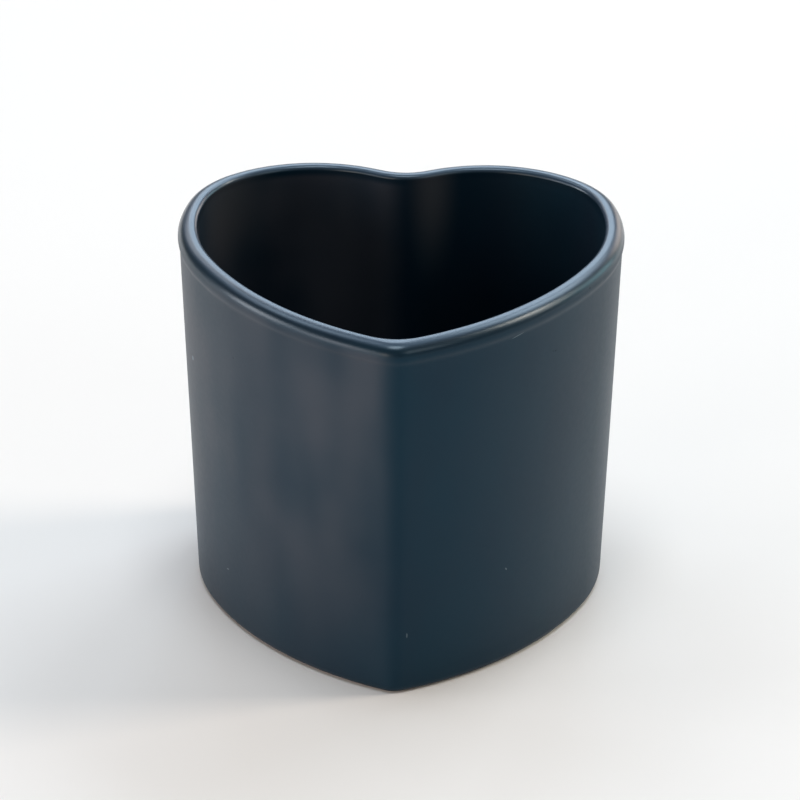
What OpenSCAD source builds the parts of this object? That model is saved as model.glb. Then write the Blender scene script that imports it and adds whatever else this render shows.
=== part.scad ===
// Heart-shaped ceramic candle jar, empty and open at the top.
// A slip-cast stoneware shell carries a satin glaze everywhere except on the foot ring.
// Units are millimetres, +Z is up. The origin is on the table, under the middle of the rim box.
// The point of the heart looks along -Y and the two lobes along +Y.

/* [Overall] */
// width across the two lobes, measured over the rim
jar_width = 92; // [76:0.5:112]
// height from the foot ring to the top of the rim
jar_height = 81; // [60:0.5:100]
// lean of the wall, so the jar is narrower at the foot
draft_angle = 2.2; // [0.5:0.1:3]

/* [Heart outline] */
// radius of the dip between the lobes, at the rim
notch_radius = 9; // [7:0.25:12]
// radius at the outer shoulder of each lobe, at the rim
shoulder_radius = 22; // [18:0.5:26]
// radius at the widest place, at the rim
side_radius = 45; // [36:0.5:54]
// how far the outline turns up out of the dip before it turns over
notch_turn = 27; // [20:0.5:34]
// how far each side of the point turns before it meets the centre line
tip_turn = 23; // [18:0.5:30]
// radius of the front edge outside, at the rim
tip_radius = 8; // [7:0.5:10]
// radius of the same edge inside, at the rim
inner_tip_radius = 10; // [8:0.5:14]

/* [Shell] */
// thickness of the glazed wall below the rim
wall = 3.8; // [3.4:0.1:5]
// how far the rim stands out over the wall
rim_overhang = 0.2; // [0.1:0.05:0.4]
// rounding on the outer edge of the rim
bead_radius = 2; // [1.6:0.1:2.2]
// rounding on the inner edge of the rim
lip_radius = 1.1; // [0.8:0.1:1.2]
// height of the floor inside, above the table
floor_height = 6.5; // [5:0.5:10]
// sweep between the wall and the floor inside
floor_fillet = 3; // [2:0.25:4]

/* [Foot] */
// rounding of the clay where the wall turns under
base_radius = 1.8; // [1.2:0.1:2.2]
// width of the bare ring the jar stands on
foot_width = 3.4; // [2.5:0.1:4.5]
// hollow under the middle of the jar
foot_recess = 1.4; // [1.2:0.1:2.5]

/* [Glaze] */
// thickness of the glaze coat
glaze = 0.35; // [0.2:0.05:0.5]
// bare clay left above the table, where the glaze is wiped off the foot
wiped_height = 0.5; // [0.3:0.1:0.9]
// how far the glaze under the jar climbs down the side of its hollow
glaze_creep = 0.4; // [0.1:0.1:0.6]

/* [Hidden] */

// Facets along each arc of the outline, from the dip to the point.
dip_steps = 4;
lobe_steps = 10;
shoulder_steps = 5;
side_steps = 8;
flank_steps = 10;
tip_steps = 3;

// Facets along each rounding of the wall section.
foot_steps = 2;
base_steps = 3;
bead_steps = 7;
lip_steps = 4;
fillet_steps = 5;

// Directions are those of the outward normal: 90 at the dip, -90 at the point.
lobe_from = 90 + notch_turn;
shoulder_from = 50;
side_from = 15;
flank_from = -25;
tip_from = tip_turn - 90;

// the lobe radius makes up whatever half width the other arcs leave
lobe_r = (jar_width / 2 + notch_radius * cos(lobe_from)
          + shoulder_radius * (cos(shoulder_from) - cos(side_from))
          - side_radius * (1 - cos(side_from))) / (cos(shoulder_from) - cos(lobe_from));

function along(angle, reach) = [reach * cos(angle), reach * sin(angle)];

// Arc centres, walked from the dip to the point. Each one sits on the last shared normal.
notch_start = [0, 0];
lobe_start = notch_start - along(lobe_from, notch_radius + lobe_r);
shoulder_start = lobe_start + along(shoulder_from, lobe_r - shoulder_radius);
side_start = shoulder_start + along(side_from, shoulder_radius - side_radius);
// the flank radius brings the point back to the centre line
flank_r = (side_start.x + side_radius * cos(flank_from) - tip_radius * cos(tip_from))
          / (cos(flank_from) - cos(tip_from));
flank_start = side_start + along(flank_from, side_radius - flank_r);
tip_start = flank_start + along(tip_from, flank_r - tip_radius);

// The outline is moved so that its middle, front to back, is at the origin.
outline_back = lobe_start.y + lobe_r;
outline_front = tip_start.y - tip_radius;
to_middle = [0, -(outline_back + outline_front) / 2];
notch_at = notch_start + to_middle;
lobe_at = lobe_start + to_middle;
shoulder_at = shoulder_start + to_middle;
side_at = side_start + to_middle;
flank_at = flank_start + to_middle;

// The front edge: the inner skin is rounder than the outer, so it turns about a centre further back.
// Each is [centre, radius at the rim outline, direction where the flank hands over].
rim_width = wall + rim_overhang;
inner_tip_r = inner_tip_radius + rim_width;
inner_reach = flank_r - inner_tip_r;
inner_tip_y = flank_at.y - sqrt(inner_reach * inner_reach - flank_at.x * flank_at.x);
outer_tip = [tip_start + to_middle, tip_radius, tip_from];
inner_tip = [[0, inner_tip_y], inner_tip_r, atan2(inner_tip_y - flank_at.y, -flank_at.x)];

// Wall section: u runs outward from the rim outline, z runs up from the table.
slope = tan(draft_angle);
lean_out = cos(draft_angle);
function outer_u(z) = -rim_overhang - (jar_height - z) * slope;
function inner_u(z) = -rim_width - (jar_height - z) * slope;

bead_at = [-bead_radius, jar_height - bead_radius];
lip_at = [inner_u(jar_height - lip_radius) + lip_radius / lean_out, jar_height - lip_radius];
fillet_z = floor_height + floor_fillet;
fillet_at = [inner_u(fillet_z) - floor_fillet / lean_out, fillet_z];
base_at = [outer_u(base_radius) - (base_radius + glaze) / lean_out, base_radius];
foot_inner = base_at.x - foot_width;

// How far the bead curls under before the wall takes over, for a skin this far below the glaze.
function bead_curl(inset) =
    acos(((outer_u(bead_at.y) + bead_radius) * lean_out - inset) / (bead_radius - inset));
function wiped_angle(inset) = asin((wiped_height - base_radius) / (base_radius + glaze - inset));

// Rows of a section. A row is [u, z, front edge], and becomes one ring round the heart.
function rounding(centre, radius, from, to, steps, tip) =
    [for (i = [0:steps])
        let (p = centre + along(from + (to - from) * i / steps, radius))
        [p.x, p.y, tip]];

function outside_rows(inset) = concat(
    rounding(base_at, base_radius + glaze - inset, wiped_angle(inset), -draft_angle, base_steps, outer_tip),
    rounding(bead_at, bead_radius - inset, -draft_angle - bead_curl(inset), 90, bead_steps, outer_tip)
);

function inside_rows(inset) = concat(
    rounding(lip_at, lip_radius - inset, 90, 180 - draft_angle, lip_steps, inner_tip),
    rounding(fillet_at, floor_fillet + inset, -draft_angle, -90, fillet_steps, inner_tip)
);

function skin_rows(inset) = concat(outside_rows(inset), inside_rows(inset));

function foot_rows() = concat(
    [[foot_inner, foot_recess + glaze, inner_tip], [foot_inner, 0, inner_tip]],
    [for (row = rounding(base_at, base_radius, -90, wiped_angle(glaze), foot_steps, outer_tip))
        if (row.y < wiped_height - 0.01) row]
);

function reversed(rows) = [for (i = [len(rows) - 1:-1:0]) rows[i]];

// Points of one outline arc at distance u outside the rim outline. The last one is left to the next arc.
function arc(centre, radius, from, to, steps) =
    [for (i = [0:steps - 1]) centre + along(from + (to - from) * i / steps, radius)];

function half_outline(u, tip) = concat(
    arc(notch_at, u - notch_radius, 90, lobe_from, dip_steps),
    arc(lobe_at, lobe_r + u, lobe_from, shoulder_from, lobe_steps),
    arc(shoulder_at, shoulder_radius + u, shoulder_from, side_from, shoulder_steps),
    arc(side_at, side_radius + u, side_from, flank_from, side_steps),
    arc(flank_at, flank_r + u, flank_from, tip[2], flank_steps),
    arc(tip[0], tip[1] + u, tip[2], -90, tip_steps),
    [tip[0] - [0, tip[1] + u]]
);

// One row carried round the heart, clockwise from above, starting at the dip.
function ring(row) =
    let (half = half_outline(row[0], row[2]), last = len(half) - 1)
    [for (i = [0:2 * last - 1])
        i <= last ? [half[i].x, half[i].y, row[1]]
                  : [-half[2 * last - i].x, half[2 * last - i].y, row[1]]];

ring_count = 2 * (dip_steps + lobe_steps + shoulder_steps + side_steps + flank_steps + tip_steps);

// A solid with a ring for each row and its two ends closed by fans at the heights given.
module skinned(rows, from_z, to_z) {
    rings = [for (row = rows) each ring(row)];
    points = concat([[0, 0, from_z]], rings, [[0, 0, to_z]]);
    end = len(points) - 1;
    last_ring = end - ring_count;
    function next(j) = (j + 1) % ring_count;
    polyhedron(points, concat(
        [for (j = [0:ring_count - 1]) [0, 1 + next(j), 1 + j]],
        [for (k = [0:len(rows) - 2], j = [0:ring_count - 1])
            let (low = 1 + k * ring_count, high = low + ring_count)
            [low + j, low + next(j), high + next(j)]],
        [for (k = [0:len(rows) - 2], j = [0:ring_count - 1])
            let (low = 1 + k * ring_count, high = low + ring_count)
            [low + j, high + next(j), high + j]],
        [for (j = [0:ring_count - 1]) [end, last_ring + j, last_ring + next(j)]]
    ));
}

module stoneware_body() {
    color([0.80, 0.74, 0.66])
        skinned(concat(foot_rows(), skin_rows(glaze)), foot_recess + glaze, floor_height - glaze);
}

// One coat from the wiped line outside, over the rim, down the inside and across the floor.
module satin_glaze() {
    color([0.17, 0.22, 0.28])
        skinned(concat(reversed(skin_rows(glaze)), skin_rows(0)), floor_height - glaze, floor_height);
}

// The pool of glaze in the hollow under the jar, cut off from the rest by the bare foot.
module underside_glaze() {
    color([0.22, 0.27, 0.33])
        skinned([
            [foot_inner - glaze_creep, foot_recess, inner_tip],
            [foot_inner, foot_recess - glaze_creep, inner_tip],
            [foot_inner, foot_recess + glaze, inner_tip]
        ], foot_recess, foot_recess + glaze);
}

stoneware_body();
satin_glaze();
underside_glaze();
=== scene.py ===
# %% [markdown]
# # A heart-shaped candle jar in satin glaze
# The real jar is cast: liquid clay is poured into a plaster mould, which leaves an even wall that
# leans a little so that it comes out again. It is then dipped in glaze, wiped at the foot so that
# it won't stick to the kiln shelf, and fired. The model follows that order: a clay body, a coat of
# glaze over it, and a pool of glaze in the hollow underneath. All three are made from one outline
# and one wall section, as the potter's mould and profile rib would make them.

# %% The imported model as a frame
import math

import bmesh
import bpy
from mathutils import Matrix, Vector, noise


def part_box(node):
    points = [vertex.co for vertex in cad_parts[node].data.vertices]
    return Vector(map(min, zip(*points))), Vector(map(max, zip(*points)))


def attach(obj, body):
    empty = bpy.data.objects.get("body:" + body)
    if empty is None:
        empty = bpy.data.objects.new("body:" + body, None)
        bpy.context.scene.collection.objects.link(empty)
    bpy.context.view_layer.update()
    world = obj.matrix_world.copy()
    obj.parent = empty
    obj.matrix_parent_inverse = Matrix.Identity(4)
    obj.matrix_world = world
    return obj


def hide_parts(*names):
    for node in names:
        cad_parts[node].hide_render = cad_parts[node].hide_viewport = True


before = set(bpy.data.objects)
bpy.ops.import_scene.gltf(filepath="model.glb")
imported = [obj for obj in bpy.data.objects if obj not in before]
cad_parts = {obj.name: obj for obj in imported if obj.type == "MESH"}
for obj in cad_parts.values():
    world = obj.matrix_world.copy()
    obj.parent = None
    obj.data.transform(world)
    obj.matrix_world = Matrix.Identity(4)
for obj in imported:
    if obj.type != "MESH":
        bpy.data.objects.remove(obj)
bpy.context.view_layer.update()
coat_low, coat_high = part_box("satin_glaze")
clay_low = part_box("stoneware_body")[0]
pool_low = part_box("underside_glaze")[0]

# %% [markdown]
# ## Sizes
# Lengths are metres. The overall ones come from the frame, so the jar keeps the size of its solid
# model. The rest are the sizes a mould maker would write on the drawing: the radii of the heart,
# the wall, the roundings of the rim, and the bare ring that the jar stands on. The rim is drawn
# rounder than in the solid model, where its radius is 2 mm, because the broad soft light along the
# real rim needs a fuller curve. The two differ by a few tenths of a millimetre.

# %% Sizes of the jar
MM = 0.001
GLAZE, GLAZE_CREEP = 0.35 * MM, 0.4 * MM
FLOOR_HEIGHT = 6.5 * MM
half_width = coat_high.x
rim_z = coat_high.z
wiped_z = coat_low.z
floor_z = clay_low.z + FLOOR_HEIGHT
recess_z = pool_low.z + GLAZE_CREEP

NOTCH_RADIUS, SHOULDER_RADIUS, SIDE_RADIUS = 9 * MM, 22 * MM, 45 * MM
TIP_RADIUS, INNER_TIP_RADIUS = 8 * MM, 10 * MM
WALL, OVERHANG = 3.8 * MM, 0.2 * MM
BEAD_RADIUS, NECK_RADIUS, LIP_RADIUS = 2.7 * MM, 3 * MM, 1.0 * MM
BASE_RADIUS, FLOOR_FILLET = 1.8 * MM, 3 * MM
FOOT_WIDTH, FOOT_EDGE = 3.4 * MM, 0.5 * MM
DRAFT = math.radians(2.2)
SLOPE, LEAN = math.tan(DRAFT), math.cos(DRAFT)
print(f"rim {2 * half_width / MM:.1f} mm wide at {rim_z / MM:.1f} mm, floor at {floor_z / MM:.1f} mm")

# %% [markdown]
# ## The outline of the heart
# A hand-drawn curve would never meet itself neatly at the front edge. A drawing office builds a
# heart from arcs that share a tangent where they join, and that is what a plaster model is turned
# and filed to. Each arc is known by its radius and by the direction its outward normal faces:
# 90 degrees at the dip between the lobes, 0 at the right-hand side, -90 at the front edge.
# Two radii are not free: the lobe fills up the half width, and the flank brings the curve back to
# the centre line.

# %% Arcs of the half outline
DIP_TO_LOBE, LOBE_TO_SHOULDER, SHOULDER_TO_SIDE, SIDE_TO_FLANK, FLANK_TO_TIP = (
    math.radians(a) for a in (117, 50, 15, -25, -67))


def towards(angle, reach):
    """A step of that length in that direction, in plan or in section."""
    return Vector((reach * math.cos(angle), reach * math.sin(angle)))


lobe_radius = (half_width + NOTCH_RADIUS * math.cos(DIP_TO_LOBE)
               + SHOULDER_RADIUS * (math.cos(LOBE_TO_SHOULDER) - math.cos(SHOULDER_TO_SIDE))
               - SIDE_RADIUS * (1 - math.cos(SHOULDER_TO_SIDE))
               ) / (math.cos(LOBE_TO_SHOULDER) - math.cos(DIP_TO_LOBE))
flank_radius = (half_width - SIDE_RADIUS + SIDE_RADIUS * math.cos(SIDE_TO_FLANK)
                - TIP_RADIUS * math.cos(FLANK_TO_TIP)
                ) / (math.cos(SIDE_TO_FLANK) - math.cos(FLANK_TO_TIP))

notch = Vector((0, 0))
lobe = notch - towards(DIP_TO_LOBE, NOTCH_RADIUS + lobe_radius)
shoulder = lobe + towards(LOBE_TO_SHOULDER, lobe_radius - SHOULDER_RADIUS)
side = shoulder + towards(SHOULDER_TO_SIDE, SHOULDER_RADIUS - SIDE_RADIUS)
flank = side + towards(SIDE_TO_FLANK, SIDE_RADIUS - flank_radius)
tip = flank + towards(FLANK_TO_TIP, flank_radius - TIP_RADIUS)
to_middle = Vector((0, -(lobe.y + lobe_radius + tip.y - TIP_RADIUS) / 2))
for centre in (notch, lobe, shoulder, side, flank, tip):
    centre += to_middle
print(f"lobe radius {lobe_radius / MM:.2f} mm, flank radius {flank_radius / MM:.2f} mm,",
      f"depth {(lobe.y + lobe_radius - tip.y + TIP_RADIUS) / MM:.2f} mm")

# %% [markdown]
# The inside of the front edge is rounder than the outside, because liquid clay builds up thicker
# in a sharp corner of the mould. So the inner skins turn about a centre of their own, a little
# further back, and the flank hands over to it a little sooner.

# %% The two versions of the front edge
RIM_WIDTH = WALL + OVERHANG
inner_radius = INNER_TIP_RADIUS + RIM_WIDTH
inner_tip_y = flank.y - math.sqrt((flank_radius - inner_radius) ** 2 - flank.x ** 2)
OUTSIDE = (tip, TIP_RADIUS, FLANK_TO_TIP)
INSIDE = (Vector((0, inner_tip_y)), inner_radius, math.atan2(inner_tip_y - flank.y, -flank.x))

# %% [markdown]
# A ring is the outline pushed in or out by a distance and laid at a height. Points are about
# 0.7 mm apart, which keeps the silhouette smooth at any distance. Arcs alone would leave a visible
# kink in a reflection where their radii change, so each ring is eased: every point moves towards
# its neighbours four times, which is less than a tenth of a millimetre even at the front edge.

# %% Rings round the heart
STEPS = {"dip": 6, "lobe": 50, "shoulder": 20, "side": 44, "flank": 76, "tip": 6}
EASING = 4
half_steps = sum(STEPS.values())
RING = 2 * half_steps


def arc(centre, radius, start, stop, steps):
    """Points along an arc. The last one is left to the next arc."""
    return [centre + towards(start + (stop - start) * i / steps, radius) for i in range(steps)]


def heart_ring(out, z, front):
    """The outline at distance out from the rim's, clockwise from above, starting at the dip."""
    tip_centre, tip_radius, tip_start = front
    half = arc(notch, out - NOTCH_RADIUS, math.pi / 2, DIP_TO_LOBE, STEPS["dip"])
    half += arc(lobe, lobe_radius + out, DIP_TO_LOBE, LOBE_TO_SHOULDER, STEPS["lobe"])
    half += arc(shoulder, SHOULDER_RADIUS + out, LOBE_TO_SHOULDER, SHOULDER_TO_SIDE, STEPS["shoulder"])
    half += arc(side, SIDE_RADIUS + out, SHOULDER_TO_SIDE, SIDE_TO_FLANK, STEPS["side"])
    half += arc(flank, flank_radius + out, SIDE_TO_FLANK, tip_start, STEPS["flank"])
    half += arc(tip_centre, tip_radius + out, tip_start, -math.pi / 2, STEPS["tip"])
    half.append(tip_centre - Vector((0, tip_radius + out)))
    ring = half + [Vector((-p.x, p.y)) for p in reversed(half[1:-1])]
    for _ in range(EASING):
        ring = [(ring[i - 1] + 2 * ring[i] + ring[(i + 1) % RING]) / 4 for i in range(RING)]
    return [Vector((p.x, p.y, z)) for p in ring]


print("points in a ring:", RING)

# %% [markdown]
# ## The wall section
# Seen in section, the wall leans out as it rises, swells into a rounded rim, turns over a narrow
# top, drops down the inside and sweeps into the floor. A row of the
# section is how far out, how high, and which front edge it belongs to. The section is written
# once, for a skin at any depth below the glaze, so the clay and the underside of the glaze come
# from the same drawing as the glaze itself and lie exactly on each other.

# %% Section of the wall
TURN_STEPS = {"base": 6, "neck": 4, "bead": 18, "lip": 12, "fillet": 10, "foot": 5, "edge": 4}


def outer_line(z):
    """How far out the outer wall stands at a height."""
    return -OVERHANG - (rim_z - z) * SLOPE


def inner_line(z):
    """How far out the inner wall stands at a height."""
    return -RIM_WIDTH - (rim_z - z) * SLOPE


bead = Vector((-BEAD_RADIUS, rim_z - BEAD_RADIUS))
lip_z = rim_z - LIP_RADIUS
lip = Vector((inner_line(lip_z) + LIP_RADIUS / LEAN, lip_z))
fillet_z = floor_z + FLOOR_FILLET
fillet = Vector((inner_line(fillet_z) - FLOOR_FILLET / LEAN, fillet_z))
base = Vector((outer_line(BASE_RADIUS) - (BASE_RADIUS + GLAZE) / LEAN, BASE_RADIUS))
foot_inner = base.x - FOOT_WIDTH

# The soft neck under the rim touches both the wall and the bead from outside.
wall_past_bead = (outer_line(bead.y) + BEAD_RADIUS) * LEAN
neck_drop = math.sqrt((BEAD_RADIUS + NECK_RADIUS) ** 2 - (wall_past_bead + NECK_RADIUS) ** 2)
neck_turn = math.asin(neck_drop / (BEAD_RADIUS + NECK_RADIUS))
neck = bead + towards(-DRAFT - neck_turn, BEAD_RADIUS + NECK_RADIUS)


def rounding(centre, radius, start, stop, steps, front):
    """Rows round a turn of the section, both ends included."""
    points = [centre + towards(start + (stop - start) * i / steps, radius) for i in range(steps + 1)]
    return [(p.x, p.y, front) for p in points]


def between(first, last, gap):
    """Rows along a straight stretch, no further apart than gap, without its two ends."""
    count = math.ceil(math.hypot(last[0] - first[0], last[1] - first[1]) / gap)
    share = [i / count for i in range(1, count)]
    return [(first[0] + (last[0] - first[0]) * s, first[1] + (last[1] - first[1]) * s, last[2])
            for s in share]


def wiped_turn(depth):
    """The direction on the base turn where a skin at that depth meets the wiped line."""
    return math.asin((wiped_z - BASE_RADIUS) / (BASE_RADIUS + GLAZE - depth))


def skin_rows(depth, gap):
    """From the wiped line up the outside, over the rim and down to the edge of the floor."""
    turn_under = rounding(base, BASE_RADIUS + GLAZE - depth, wiped_turn(depth), -DRAFT,
                          TURN_STEPS["base"], OUTSIDE)
    under_rim = rounding(neck, NECK_RADIUS + depth, math.pi - DRAFT, math.pi - DRAFT - neck_turn,
                         TURN_STEPS["neck"], OUTSIDE)
    over_rim = rounding(bead, BEAD_RADIUS - depth, -DRAFT - neck_turn, math.pi / 2,
                        TURN_STEPS["bead"], OUTSIDE)
    into_jar = rounding(lip, LIP_RADIUS - depth, math.pi / 2, math.pi - DRAFT,
                        TURN_STEPS["lip"], INSIDE)
    to_floor = rounding(fillet, FLOOR_FILLET + depth, -DRAFT, -math.pi / 2,
                        TURN_STEPS["fillet"], INSIDE)
    return (turn_under + between(turn_under[-1], under_rim[0], gap) + under_rim + over_rim[1:]
            + into_jar + between(into_jar[-1], to_floor[0], gap) + to_floor)


print(f"the neck under the rim turns {math.degrees(neck_turn):.0f} degrees",
      f"and starts {(rim_z - neck.y) / MM:.1f} mm down")

# %% [markdown]
# ## From rows to a mesh
# Each row becomes a ring, and neighbouring rings are joined by four-sided faces. An end is closed
# by shrinking the last ring in steps towards one point, so even a flat floor has faces of a
# sensible size. The result has no open edge, as a real thing has none.

# %% Joining rings into a closed mesh
FLOOR_SHRINK = (0.9, 0.75, 0.55, 0.35, 0.15)


def closed_mesh(name, rings, finish):
    """A mesh from rings, both ends closed at their own height, shaded smooth."""
    def shrink(ring):
        middle = sum(ring, Vector()) / len(ring)
        return [[middle + (p - middle) * s for p in ring] for s in FLOOR_SHRINK], middle

    first, first_middle = shrink(rings[0])
    last, last_middle = shrink(rings[-1])
    rows = first[::-1] + rings + last
    points = [first_middle] + [p for row in rows for p in row] + [last_middle]
    end, top = len(points) - 1, len(points) - 1 - RING
    faces = [(0, 1 + j, 1 + (j + 1) % RING) for j in range(RING)]
    for k in range(len(rows) - 1):
        low, high = 1 + k * RING, 1 + (k + 1) * RING
        faces += [(low + j, high + j, high + (j + 1) % RING, low + (j + 1) % RING)
                  for j in range(RING)]
    faces += [(end, top + (j + 1) % RING, top + j) for j in range(RING)]
    mesh = bpy.data.meshes.new(name)
    mesh.from_pydata(points, [], faces)
    mesh.polygons.foreach_set("use_smooth", [True] * len(mesh.polygons))
    mesh.update()
    piece = bpy.data.objects.new(name, mesh)
    bpy.context.scene.collection.objects.link(piece)
    mesh.materials.append(finish)
    measured = bmesh.new()
    measured.from_mesh(mesh)
    open_edges = sum(not edge.is_manifold for edge in measured.edges)
    print(f"{name}: {len(faces)} faces, {open_edges} open edges,",
          f"{measured.calc_volume(signed=True) / MM ** 3:.0f} cubic mm")
    measured.free()
    return piece


# %% [markdown]
# ## Shader tools
# A finish is a small program of nodes. Written out node by node it hides its own sums, so one
# class stands for a node's output and takes part in plain arithmetic: each sign adds the Math node
# that it means. Any other node comes from one method, which takes the kind of node, its settings
# and what goes into its sockets.

# %% Arithmetic on sockets
class Amount:
    """A number that changes over a surface."""

    def __init__(self, finish, socket):
        self.finish, self.socket = finish, socket

    def sum_with(self, operation, first, second):
        return self.finish.node("ShaderNodeMath", {"operation": operation}, {0: first, 1: second})

    def __add__(self, other):
        return self.sum_with("ADD", self, other)

    def __sub__(self, other):
        return self.sum_with("SUBTRACT", self, other)

    def __rsub__(self, other):
        return self.sum_with("SUBTRACT", other, self)

    def __mul__(self, other):
        return self.sum_with("MULTIPLY", self, other)

    def __gt__(self, other):
        return self.sum_with("GREATER_THAN", self, other)

    def __lt__(self, other):
        return self.sum_with("LESS_THAN", self, other)

    __radd__, __rmul__ = __add__, __mul__


class Finish:
    """A material and the one method that adds a node to it."""

    def __init__(self, name):
        self.material = bpy.data.materials.new(name)
        self.material.use_nodes = True
        self.tree = self.material.node_tree
        self.tree.nodes.clear()
        self.place = self.node("ShaderNodeTexCoord", out="Object")

    def node(self, kind, settings=None, sockets=None, out=0):
        made = self.tree.nodes.new(kind)
        for key, value in (settings or {}).items():
            setattr(made, key, value)
        for key, value in (sockets or {}).items():
            if isinstance(value, Amount):
                self.tree.links.new(value.socket, made.inputs[key])
            else:
                made.inputs[key].default_value = value
        return None if out is None else Amount(self, made.outputs[out])

    def stretched(self, x, y, z):
        """Object coordinates multiplied along each axis."""
        return self.node("ShaderNodeVectorMath", {"operation": "MULTIPLY"}, {0: self.place, 1: (x, y, z)})

    def clouds(self, scale, detail=2.0, vector=None, seed=0.0):
        """Soft noise between 0 and 1."""
        return self.node("ShaderNodeTexNoise", {"noise_dimensions": "4D"},
                         {"Vector": vector or self.place, "W": seed, "Scale": scale,
                          "Detail": detail, "Roughness": 0.5})

    def spread(self, amount, low, high, to_low=0.0, to_high=1.0):
        """The stretch of amount from low to high, laid smoothly over another stretch."""
        return self.node("ShaderNodeMapRange", {"interpolation_type": "SMOOTHSTEP"},
                         {"Value": amount, "From Min": low, "From Max": high,
                          "To Min": to_low, "To Max": to_high})

    def blend(self, share, first, second):
        """One colour giving way to another."""
        return self.node("ShaderNodeMix", {"data_type": "RGBA"}, {0: share, 6: first, 7: second}, out=2)

    def mark(self, place, half, tilt, core=0.5):
        """A stretched spot at a place in millimetres, turned about Y, even out to its core."""
        middle = tuple(c * MM for c in place)
        turned = self.node("ShaderNodeVectorRotate", {"rotation_type": "Y_AXIS"},
                           {"Vector": self.place, "Center": middle, "Angle": math.radians(tilt)})
        away = self.node("ShaderNodeVectorMath", {"operation": "SUBTRACT"}, {0: turned, 1: middle})
        scaled = self.node("ShaderNodeVectorMath", {"operation": "DIVIDE"},
                           {0: away, 1: tuple(h * MM for h in half)})
        reach = self.node("ShaderNodeVectorMath", {"operation": "LENGTH"}, {0: scaled}, out="Value")
        return self.spread(reach, 1.0, core)

    def surface(self, fixed, varying):
        """The finished material, from values that are even all over and values that vary."""
        shader = self.node("ShaderNodeBsdfPrincipled", None, {**fixed, **varying})
        self.node("ShaderNodeOutputMaterial", None, {"Surface": shader}, out=None)
        return self.material


# %% [markdown]
# ## Satin navy glaze
# The glaze is a magnesium satin matte: tiny crystals make it scatter light, so the wall shows a
# broad soft sheen rather than a mirror. A flat navy with some roughness would look like paint, so
# the finish is built up in layers. The navy leans to teal here and there. Over it lies a milky haze
# in soft upright clouds, as where such a glaze is thick. The haze is laid on more heavily over the
# left half, which is a painted sheen, and thinned towards the foot, which is painted shade. The top
# of the rim is glossier, as where such a glaze runs thin, and its paler colour is a painted
# highlight. How much of the haze is the glaze's own is a guess.

# %% Colours of the glaze
DEEP_NAVY = (0.0025, 0.0100, 0.0210, 1)
TEAL_NAVY = (0.0015, 0.0125, 0.0245, 1)
# The slate is the glaze's own mottle, and also a painted sheen where it is laid on the left half.
SLATE_HAZE_AND_SHEEN = (0.0560, 0.0570, 0.0680, 1)
# This pale blue is a painted highlight on the top of the rim.
PAINTED_RIM_HIGHLIGHT = (0.0330, 0.0560, 0.0920, 1)
# This colour is painted light inside the jar, near the rim.
PAINTED_INNER_LIGHT = (0.0560, 0.0600, 0.0680, 1)
SCUFFED = (0.16, 0.20, 0.22, 1)
PINHOLE_DARK = (0.001, 0.001, 0.0015, 1)
NAVY_SHEEN = (0.23, 0.57, 0.84, 1)
glaze_colours = (DEEP_NAVY, TEAL_NAVY, SLATE_HAZE_AND_SHEEN, PAINTED_RIM_HIGHLIGHT, PAINTED_INNER_LIGHT, SCUFFED, PINHOLE_DARK)
print(len(glaze_colours), "colours in the glaze, the palest", max(max(c[:3]) for c in glaze_colours))

# %% [markdown]
# The masks come first. Each one is an amount between 0 and 1 that says where something happens, by
# height on the jar or by clouds of noise. Clouds are stretched by giving each axis its own scale:
# the smaller number is the slower change, so 26 up and 70 across makes clouds that stand upright.

# %% Where the glaze changes
# Painted sheen across the left half, and painted shade lower down the wall.
LEFT_SHEEN_NONE, LEFT_SHEEN_FULL, FOOT_SHADE_HEIGHT = 1.5 * MM, -5 * MM, 40 * MM


def rim_mask(f, start, full):
    """1 from a depth below the rim upwards, fading in from a greater depth."""
    height_up = f.node("ShaderNodeSeparateXYZ", {}, {"Vector": f.place}, out="Z")
    return f.spread(height_up, rim_z - start * MM, rim_z - full * MM)


def haze_clouds(f, seed):
    upright = f.clouds(1.0, 1.0, f.stretched(70, 70, 26), seed)
    round_patches = f.clouds(42, 2.0, None, seed + 3)
    return f.spread(upright * 0.6 + round_patches * 0.4, 0.22, 0.76)


def left_sheen_and_foot_shade(f):
    """Painted sheen on the left half and painted shade towards the foot, as a haze mask."""
    across = f.node("ShaderNodeSeparateXYZ", {}, {"Vector": f.place}, out="X")
    height_up = f.node("ShaderNodeSeparateXYZ", {}, {"Vector": f.place}, out="Z")
    return (f.spread(across, LEFT_SHEEN_NONE, LEFT_SHEEN_FULL, 0.08, 1.0)
            * f.spread(height_up, 0.0, FOOT_SHADE_HEIGHT, 0.25, 1.0))


print(f"the haze fades in over {(LEFT_SHEEN_NONE - LEFT_SHEEN_FULL) / MM:.1f} mm near the middle of the jar")

# %% [markdown]
# A few gas bubbles burst late in the firing and leave pinholes. Cells of noise give each bubble a
# place, and a draw per cell keeps one in fifty. A used jar has marks of its own as well, which
# chance would not put in their places, so they are listed: scuffs and larger pinholes. The list also
# holds two patches of painted light inside, near the rim: a lit patch on the back left of the inner
# wall and a soft upright highlight by the dip. The places of the scuffs and pinholes were worked out
# by a separate ray-casting program, not chosen by hand.

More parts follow.
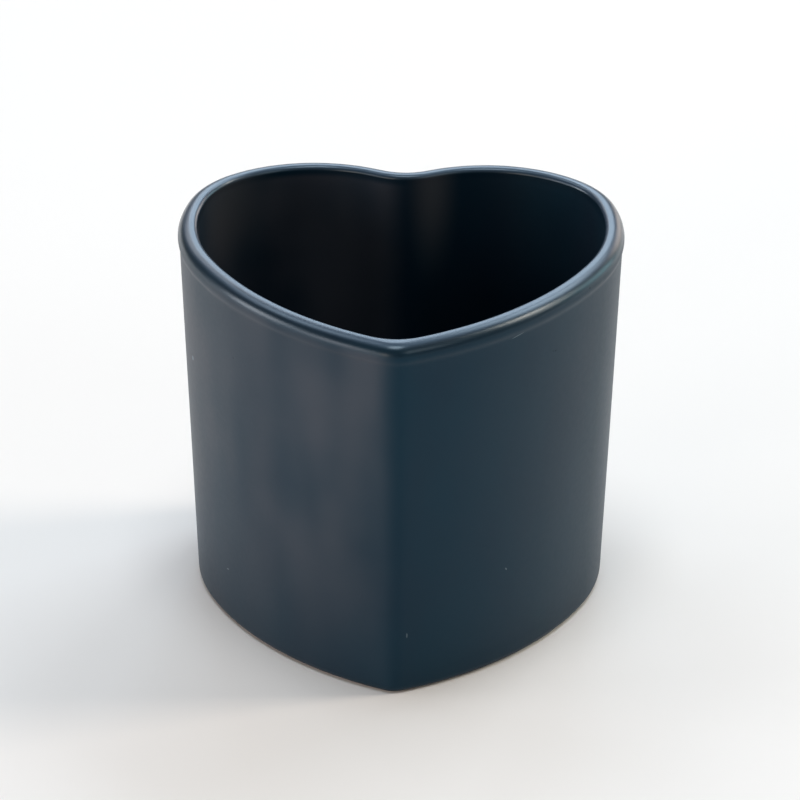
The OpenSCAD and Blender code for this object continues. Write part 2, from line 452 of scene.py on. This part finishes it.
# %% Pinholes and marks
BUBBLES_PER_METRE, BUBBLE_SHARE = 120.0, 0.02
MARKS = (  # kind, place and half lengths in millimetres, tilt in degrees
    ("scuff", (24.2, -28.9, 76.8), (2.9, 1.5, 0.10), 12),
    ("scuff", (-35.1, -11.9, 12.6), (0.7, 0.7, 0.16), 35),
    ("scuff", (22.6, -27.5, 22.6), (0.16, 0.5, 0.45), 25),
    ("scuff", (2.7, -39.9, 13.8), (0.12, 0.5, 0.75), 0),
    ("scuff", (-42.5, -0.8, 56.0), (0.4, 0.9, 0.9), -20),
    ("pinhole", (38.6, -11.5, 78.9), (0.3, 0.3, 0.3), 0),
    ("pinhole", (38.0, -11.9, 77.7), (0.25, 0.25, 0.25), 0),
    ("pinhole", (31.4, -20.8, 69.3), (0.2, 0.2, 0.18), 0),
    ("pinhole", (31.8, -20.2, 69.1), (0.26, 0.26, 0.22), 0),
    # The next two marks are painted light inside: a lit patch and a soft highlight.
    ("inner_light", (-36.5, 29.0, 76.0), (15.0, 15.0, 20.0), 0),
    ("inner_light", (6.5, 35.0, 78.0), (7.0, 7.0, 26.0), 0),
)


def chance_pinholes(f):
    sockets = {"Vector": f.place, "Scale": BUBBLES_PER_METRE}
    away = f.node("ShaderNodeTexVoronoi", {}, sockets, out="Distance")
    draw = f.node("ShaderNodeTexVoronoi", {}, sockets, out="Color")
    kept = f.node("ShaderNodeSeparateColor", {}, {"Color": draw}) < BUBBLE_SHARE
    return f.spread(away, 0.045, 0.025) * kept


def marked(f, marks, wanted, core=0.5):
    """All the marks of one kind, or 0 if there are none."""
    spots = [f.mark(place, half, tilt, core) for kind, place, half, tilt in marks if kind == wanted]
    return sum(spots[1:], spots[0]) if spots else 0.0


print("marks on the glaze:", len(MARKS))

# %% [markdown]
# Now the layers are laid on each other: navy, haze with its painted sheen and shade, painted light
# inside, a painted highlight on the top of the rim, scuffs and pinholes. The bump is made of
# crystals and a finer grain, and the rim also gets hair-fine level lines, such as wiping leaves.
# The sheen is tinted navy, and that tint is the same all over, so it is set on the shader itself.
# The glossier rim is a thin clear coat that fades in with height.

# %% The glaze as a material
BUMP_STRENGTH, BUMP_DEPTH = 0.15, 0.05 * MM


def satin_glaze(name, seed, marks):
    f = Finish(name)
    on_rim = rim_mask(f, 2.6, 1.2)
    # Where the painted highlight lies on the top of the rim.
    rim_top_highlight = rim_mask(f, 0.9, 0.1)
    hazy = haze_clouds(f, seed)
    teal = f.spread(f.clouds(1.0, 2.0, f.stretched(60, 60, 30), seed + 9), 0.35, 0.65)
    crystals = f.clouds(800, 2.0, None, seed + 5)
    grain = f.clouds(2400, 1.0, None, seed + 7)
    brushed = f.clouds(1.0, 2.0, f.stretched(120, 120, 5200), seed + 11) - 0.5
    pinholes = chance_pinholes(f) + marked(f, marks, "pinhole")

    navy = f.blend(teal, DEEP_NAVY, TEAL_NAVY)
    # Haze clouds, with a painted sheen on the left half and painted shade towards the foot.
    navy = f.blend(hazy * left_sheen_and_foot_shade(f) * (1 - on_rim), navy, SLATE_HAZE_AND_SHEEN)
    # Painted light on the inner wall near the rim.
    navy = f.blend(marked(f, marks, "inner_light", core=0.0) * 0.7, navy, PAINTED_INNER_LIGHT)
    # Painted highlight on the top of the rim, streaked by the level lines.
    navy = f.blend(rim_top_highlight * (0.9 + brushed * 0.6), navy, PAINTED_RIM_HIGHLIGHT)
    navy = f.blend(marked(f, marks, "scuff") * 0.8, navy, SCUFFED)
    colour = f.blend(pinholes, navy, PINHOLE_DARK)

    roughness = (0.41 + hazy * 0.05 + (crystals - 0.5) * 0.08 - on_rim * 0.10
                 + brushed * on_rim * 0.16 + pinholes * 0.2)
    height = crystals * 0.5 + grain * 0.4 + brushed * on_rim * 0.8 - pinholes * 3.0
    normal = f.node("ShaderNodeBump", {}, {"Height": height, "Strength": BUMP_STRENGTH,
                                           "Distance": BUMP_DEPTH})
    return f.surface({"IOR": 1.5, "Specular Tint": NAVY_SHEEN, "Coat Roughness": 0.27},
                     {"Base Color": colour, "Roughness": roughness, "Normal": normal,
                      "Coat Weight": on_rim * 0.65})


navy_glaze = satin_glaze("navy_satin_glaze", 1.0, MARKS)
navy_pool = satin_glaze("navy_satin_glaze_under", 21.0, ())
for finish in (navy_glaze, navy_pool):
    print(finish.name, "has", len(finish.node_tree.nodes), "nodes")

# %% [markdown]
# ## Fired stoneware
# Where the glaze is wiped away the clay shows: a dark greyish-brown body with iron specks and a dry,
# sandy surface. It drinks light, so it has no gloss to speak of, and the bump is coarser than the
# glaze's. Specks are cells of noise, each with a small dark middle.

# %% The clay as a material
CLAY_DARK = (0.24, 0.20, 0.165, 1)
CLAY_LIGHT = (0.33, 0.28, 0.235, 1)
IRON_SPECK = (0.16, 0.09, 0.05, 1)


def bare_clay(name):
    f = Finish(name)
    mottle = f.clouds(60, 4.0)
    sand = f.clouds(1500, 3.0, None, 4.0)
    away = f.node("ShaderNodeTexVoronoi", {}, {"Vector": f.place, "Scale": 700.0}, out="Distance")
    specks = f.spread(away, 0.16, 0.08)
    body = f.blend(f.spread(mottle, 0.3, 0.7), CLAY_DARK, CLAY_LIGHT)
    colour = f.blend(specks * 0.7, body, IRON_SPECK)
    normal = f.node("ShaderNodeBump", {}, {"Height": sand - specks * 0.4, "Strength": 0.5,
                                           "Distance": 0.2 * MM})
    return f.surface({"IOR": 1.45}, {"Base Color": colour, "Roughness": 0.8 + mottle * 0.15,
                                     "Normal": normal})


fired_clay = bare_clay("fired_stoneware")
print(fired_clay.name, "has", len(fired_clay.node_tree.nodes), "nodes")

# %% [markdown]
# ## The clay body
# The body could be left as the solid model has it, but its foot ring is cut in flats there and the
# ring is the one place where the clay is seen. So it is made again from the same section, with the
# ring's inner edge softened as a damp sponge would soften it.

# %% Clay body
HOLLOW_STEP, CLAY_GAP = 1.2 * MM, 8 * MM
hollow_z = recess_z + GLAZE
foot_edge = Vector((foot_inner + FOOT_EDGE, FOOT_EDGE))
ring_turn = rounding(base, BASE_RADIUS, -math.pi / 2, wiped_turn(GLAZE), TURN_STEPS["base"], OUTSIDE)
hollow = [(foot_inner - HOLLOW_STEP, hollow_z, INSIDE), (foot_inner, hollow_z, INSIDE)]
inner_edge = rounding(foot_edge, FOOT_EDGE, math.pi, 3 * math.pi / 2, TURN_STEPS["foot"], INSIDE)
clay_rows = hollow + inner_edge + ring_turn[:-1] + skin_rows(GLAZE, CLAY_GAP)
clay_body = closed_mesh("clay_body", [heart_ring(*row) for row in clay_rows], fired_clay)

# %% [markdown]
# ## The coat of glaze
# The coat is a skin with a thickness, not just a colour on the clay: it ends above the foot in a
# small rolled edge that catches the light. It has an inner side that lies on the clay and an outer
# side that shows. Melted glaze is never quite even, so the side that shows wanders by a few
# hundredths of a millimetre, more along the wall than down it, and is left alone at the wiped edge.

# %% The melted surface
WANDER, FADE_ROWS = 0.05 * MM, 8


def wander(point, fade):
    """How far the melted surface stands off its drawing at a point."""
    long_wave = noise.noise(Vector((point.x * 42, point.y * 42, point.z * 16)))
    short_wave = noise.noise(Vector((point.x * 150, point.y * 150, point.z * 60 + 9)))
    return WANDER * (long_wave + 0.25 * short_wave) * fade


def melted(rings):
    """The same rings, each point moved along the way the surface faces."""
    moved = []
    for k, ring in enumerate(rings):
        below, above = rings[max(k - 1, 0)], rings[min(k + 1, len(rings) - 1)]
        fade = min(1, k / FADE_ROWS)
        row = []
        for j, p in enumerate(ring):
            facing = (above[j] - below[j]).cross(ring[j - 1] - ring[(j + 1) % RING])
            row.append(p - facing.normalized() * wander(p, fade))
        moved.append(row)
    return moved


print(f"the surface wanders up to {WANDER / MM:.2f} mm")

# %% Coat of glaze
INNER_GAP, OUTER_GAP = 4 * MM, 2.5 * MM
inner_skin = [heart_ring(*row) for row in reversed(skin_rows(GLAZE, INNER_GAP))]
edge_roll = rounding(base, BASE_RADIUS, wiped_turn(GLAZE), wiped_turn(0), TURN_STEPS["edge"], OUTSIDE)
edge_rings = []
for step, (out, z, front) in enumerate(edge_roll[1:-1], start=1):
    thick = GLAZE * math.sin(math.pi / 2 * step / TURN_STEPS["edge"])
    swell = (Vector((out, z)) - base).normalized() * thick
    edge_rings.append(heart_ring(out + swell.x, z + swell.y, front))
outer_skin = melted([heart_ring(*row) for row in skin_rows(0, OUTER_GAP)])
glaze_coat = closed_mesh("glaze_coat", inner_skin + edge_rings + outer_skin, navy_glaze)

# %% [markdown]
# ## The pool underneath
# Glaze that ran into the hollow under the jar stays there. Surface tension draws it a little way up
# the side of the ring, so its edge is a small curve, which a few rows are enough to show.

# %% Pool of glaze in the hollow
CREEP_CURVE = ((1.3, 0.0), (0.5, 0.04), (0.15, 0.18))  # millimetres in from the ring, and down
pool_rows = [(foot_inner - away * MM, recess_z - down * MM, INSIDE) for away, down in CREEP_CURVE]
pool_rows += [(foot_inner, pool_low.z, INSIDE), (foot_inner, hollow_z, INSIDE)]
foot_pool = closed_mesh("foot_pool", [heart_ring(*row) for row in pool_rows], navy_pool)

# %% [markdown]
# ## What each piece stands for
# The jar is one rigid body. Each piece rides on it and replaces its solid.

# %% Riding on the frame
for piece, node, slot in ((clay_body, "stoneware_body", "stoneware"),
                          (glaze_coat, "satin_glaze", "navy_glaze"),
                          (foot_pool, "underside_glaze", "navy_glaze_under")):
    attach(piece, "root")
    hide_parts(node)

# %% [markdown]
# ## The table
# A pale matt table that runs far past the view, with a soft variation so it does not look printed.

# %% Table
def table_finish():
    f = Finish("pale_table")
    colour = f.blend(f.clouds(9, 3.0), (0.86, 0.86, 0.855, 1), (0.88, 0.88, 0.875, 1))
    return f.surface({"IOR": 1.45, "Specular IOR Level": 0.3},
                     {"Base Color": colour, "Roughness": 0.55 + f.clouds(300, 2.0) * 0.1})


TABLE_REACH = 3.0
table_mesh = bpy.data.meshes.new("table")
table_mesh.from_pydata([(x * TABLE_REACH, y * TABLE_REACH, clay_low.z) for x, y in
                        ((-1, -1), (1, -1), (1, 1), (-1, 1))], [], [(0, 1, 2, 3)])
table = bpy.data.objects.new("table", table_mesh)
bpy.context.scene.collection.objects.link(table)
table_mesh.materials.append(table_finish())

# %% [markdown]
# ## Lights
# A dark satin object is lit by what it mirrors, so there is a panel wherever the jar has something
# to mirror: behind it for the top of the rim, to the right for the warm bright line, low at the
# sides for the upright walls. The panels are soft and stand four metres away, because near ones
# light the table unevenly. Their powers and tints were not picked by eye. A separate least-squares
# program balanced one render per panel, and some of its results were then changed by hand. Panels
# can be named and moved one by one, which a brightness map of a room does not allow.

# %% Panels of light
PANEL_DISTANCE = 4.0
jar_middle = Vector((0, 0, rim_z / 2))


def panel(name, bearing, height, width, tall, power, colour):
    """A rectangular panel facing the jar. Bearing 0 is in front of the jar, 90 to its right."""
    across, up = math.radians(bearing), math.radians(height)
    way = Vector((math.sin(across) * math.cos(up), -math.cos(across) * math.cos(up), math.sin(up)))
    light = bpy.data.lights.new(name, "AREA")
    light.shape, light.size, light.size_y = "RECTANGLE", width, tall
    light.energy, light.color = power, colour
    lamp = bpy.data.objects.new(name, light)
    bpy.context.scene.collection.objects.link(lamp)
    lamp.location = jar_middle + way * PANEL_DISTANCE
    lamp.rotation_euler = way.to_track_quat("Z", "Y").to_euler()


PANELS = (  # name, bearing, height in degrees, width, tall, power in watts, colour
    ("key_high", 98, 39, 0.85, 0.85, 41, (1.0, 0.84, 0.70)),
    ("key_low", 98, 25, 1.07, 1.07, 14, (1.0, 0.87, 0.75)),
    ("right_front", 45, 33, 1.47, 1.47, 9, (0.97, 1.0, 0.96)),
    ("right_low", 120, 12, 1.47, 1.47, 13, (0.63, 0.97, 1.0)),
    ("back_low", 150, 12, 1.47, 1.47, 15, (1.0, 0.85, 0.76)),
    ("back_window", 180, 28, 1.60, 1.60, 26, (0.72, 0.86, 1.0)),
    ("back_right", 165, 42, 1.33, 1.33, 13, (0.78, 0.89, 1.0)),
    ("back_side", 142, 48, 1.47, 1.47, 34, (0.83, 0.92, 1.0)),
    ("back_left", 203, 31, 1.60, 1.47, 13, (1.0, 0.95, 0.95)),
    ("left_high", 230, 55, 1.47, 1.47, 19, (0.86, 0.93, 1.0)),
    ("left_side", 270, 12, 1.47, 1.47, 42, (1.0, 0.92, 0.90)),
    ("left_front", 300, 12, 1.47, 1.47, 30, (1.0, 0.85, 0.81)),
    ("front_fill", 330, 12, 1.47, 1.47, 22, (1.0, 0.76, 0.60)),
    ("overhead", 0, 85, 1.47, 1.47, 50, (0.96, 0.99, 1.0)),
)
for row in PANELS:
    panel(*row)
print(len(PANELS), "panels of light,", sum(row[5] for row in PANELS), "watts")

# %% [markdown]
# The room itself is dim, so that the panels do the lighting. Seen past the edge of the table it
# would look like a dark wall, so a line of sight that misses everything ends on a pale wall instead.

# %% The room
ROOM_COLOUR = (1.0, 0.99, 0.97, 1)
ROOM_LIGHT, WALL_LIGHT = 0.11, 0.80
world = bpy.data.worlds.new("studio")
world.use_nodes = True
room = world.node_tree.nodes
room["Background"].inputs["Color"].default_value = ROOM_COLOUR
seen = room.new("ShaderNodeLightPath").outputs["Is Camera Ray"]
strength = room.new("ShaderNodeMapRange")
strength.inputs["To Min"].default_value = ROOM_LIGHT
strength.inputs["To Max"].default_value = WALL_LIGHT
world.node_tree.links.new(seen, strength.inputs["Value"])
world.node_tree.links.new(strength.outputs["Result"], room["Background"].inputs["Strength"])
bpy.context.scene.world = world
bpy.context.scene.view_settings.view_transform = "Standard"
print("room light", ROOM_LIGHT, "and wall", WALL_LIGHT)

# %% [markdown]
# ## Camera
# A long lens about a metre away keeps the jar's sides nearly parallel, and a view 28 degrees down
# shows the heart of the rim and the front wall together. The angles, the aim and the distance were
# worked out by a separate fitting program, so they are not round numbers.

# %% Camera
CAMERA_PITCH, CAMERA_BEARING, CAMERA_ROLL = (math.radians(a) for a in (27.888, 1.2012, -0.3144))
CAMERA_DISTANCE, FOCAL_LENGTH, SENSOR_WIDTH = 1.03282, 225, 36
aim = Vector((0.206 * MM, 0, 46.62 * MM))
forward = Vector((-math.sin(CAMERA_BEARING) * math.cos(CAMERA_PITCH),
                  math.cos(CAMERA_BEARING) * math.cos(CAMERA_PITCH), -math.sin(CAMERA_PITCH)))
right = forward.cross(Vector((0, 0, 1))).normalized()
upward = right.cross(forward)
turn = Matrix.Rotation(CAMERA_ROLL, 3, forward)
right, upward = turn @ right, turn @ upward
lens = bpy.data.cameras.new("camera")
lens.lens, lens.sensor_width = FOCAL_LENGTH, SENSOR_WIDTH
lens.clip_end = 20
camera = bpy.data.objects.new("camera", lens)
bpy.context.scene.collection.objects.link(camera)
camera.matrix_world = Matrix.Translation(aim - forward * CAMERA_DISTANCE) @ Matrix(
    (right, upward, -forward)).transposed().to_4x4()
bpy.context.scene.camera = camera
print("camera at", [round(v, 3) for v in camera.matrix_world.translation])
